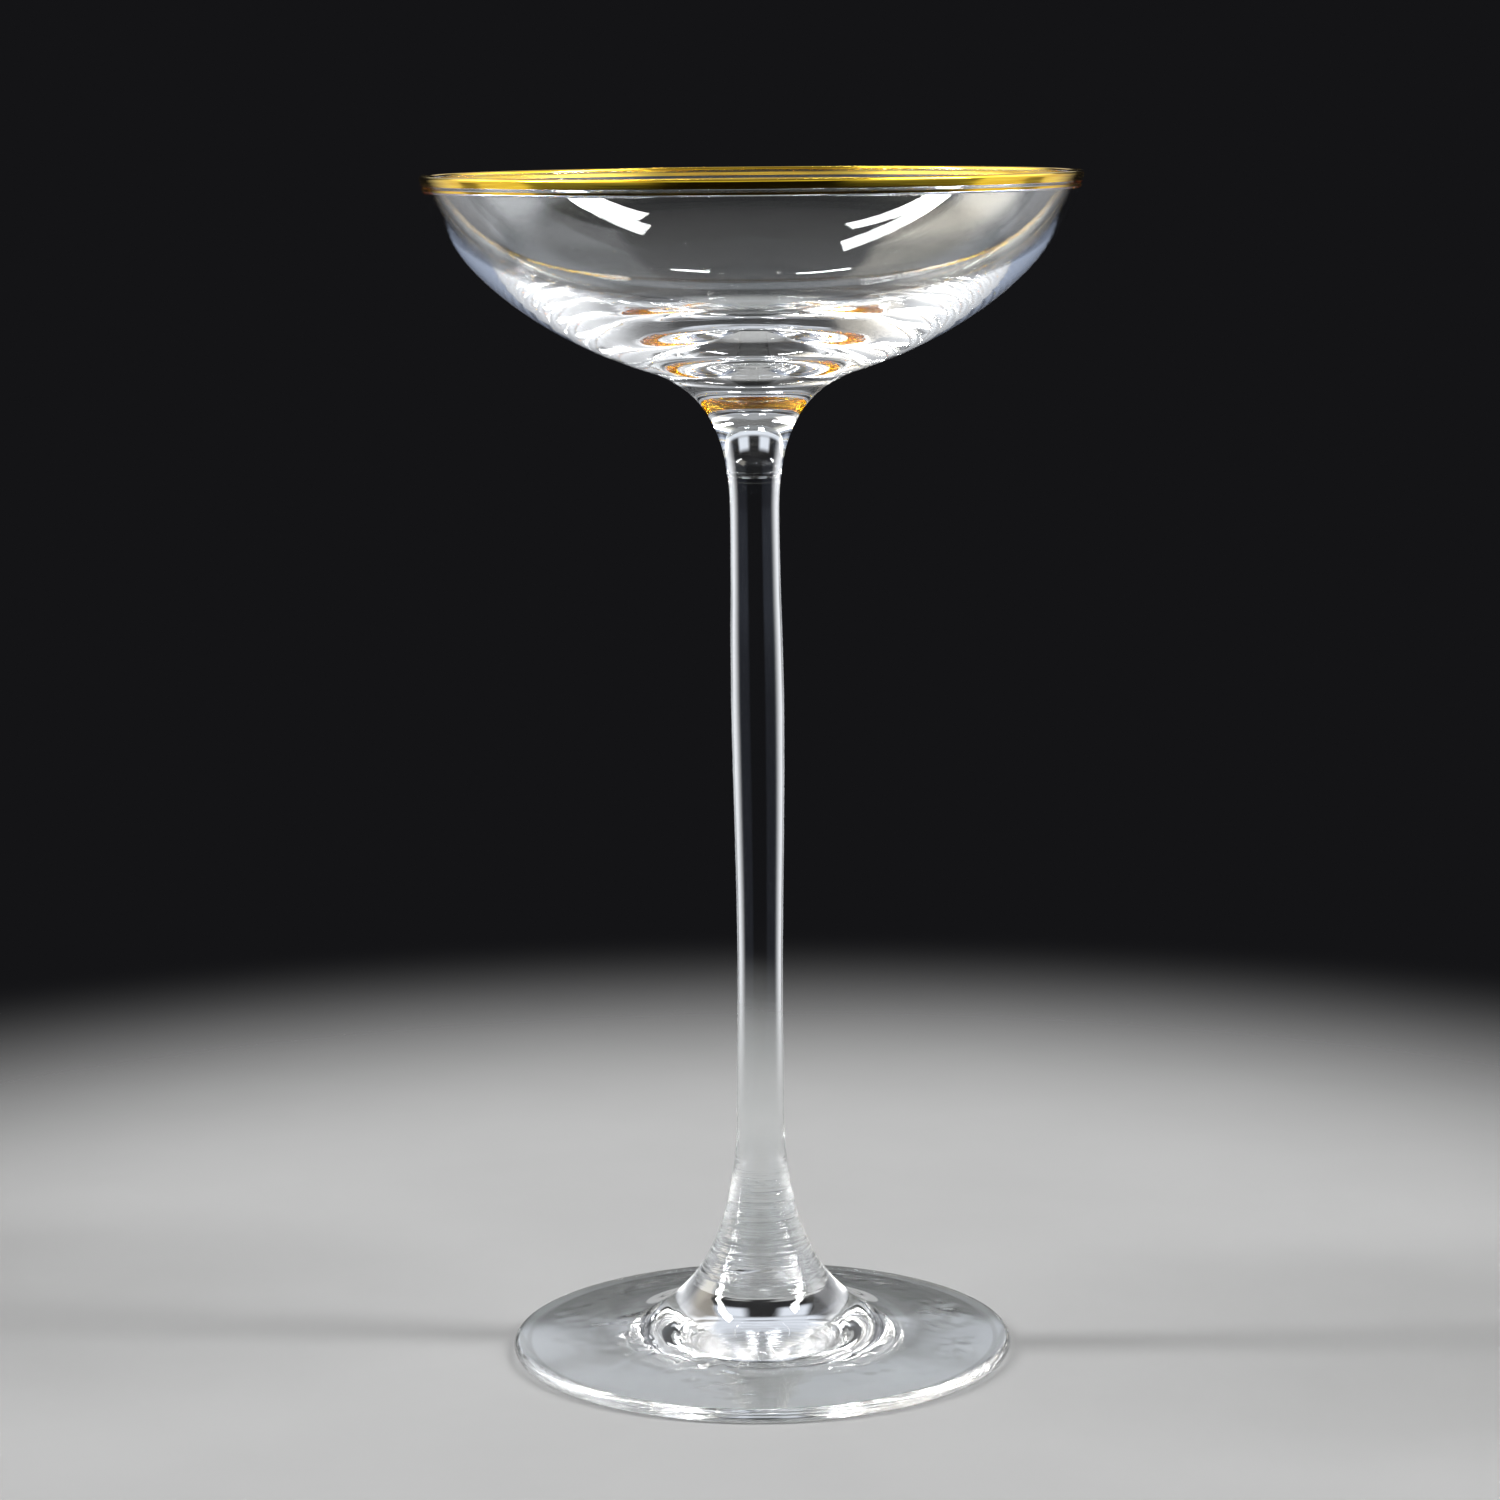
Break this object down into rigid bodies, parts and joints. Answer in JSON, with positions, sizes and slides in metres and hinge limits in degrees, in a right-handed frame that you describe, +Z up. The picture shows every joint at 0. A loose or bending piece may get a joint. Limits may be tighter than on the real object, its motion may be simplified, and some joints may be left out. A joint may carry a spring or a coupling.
{
  "type": "champagne saucer glass",
  "caption": "Tall stemmed saucer glass: a shallow blown bowl on a slender solid stem with a flared round foot, and a gold band and a fine gold line at the lip.",
  "frame": {"origin": "centre of the foot where it stands on the table", "axes": "+Z up along the axis of the glass, from the foot to the lip; the glass is round, so X and Y are alike"},
  "size_m": [0.11, 0.11, 0.2015],
  "materials": {
    "clear_glass": "fire polished",
    "fired_gold": "burnished"
  },
  "bodies": {
    "root": {"bowl": "clear_glass", "stem": "clear_glass", "foot": "clear_glass", "gold_band": "fired_gold", "gold_line": "fired_gold"}
  },
  "joints": []
}
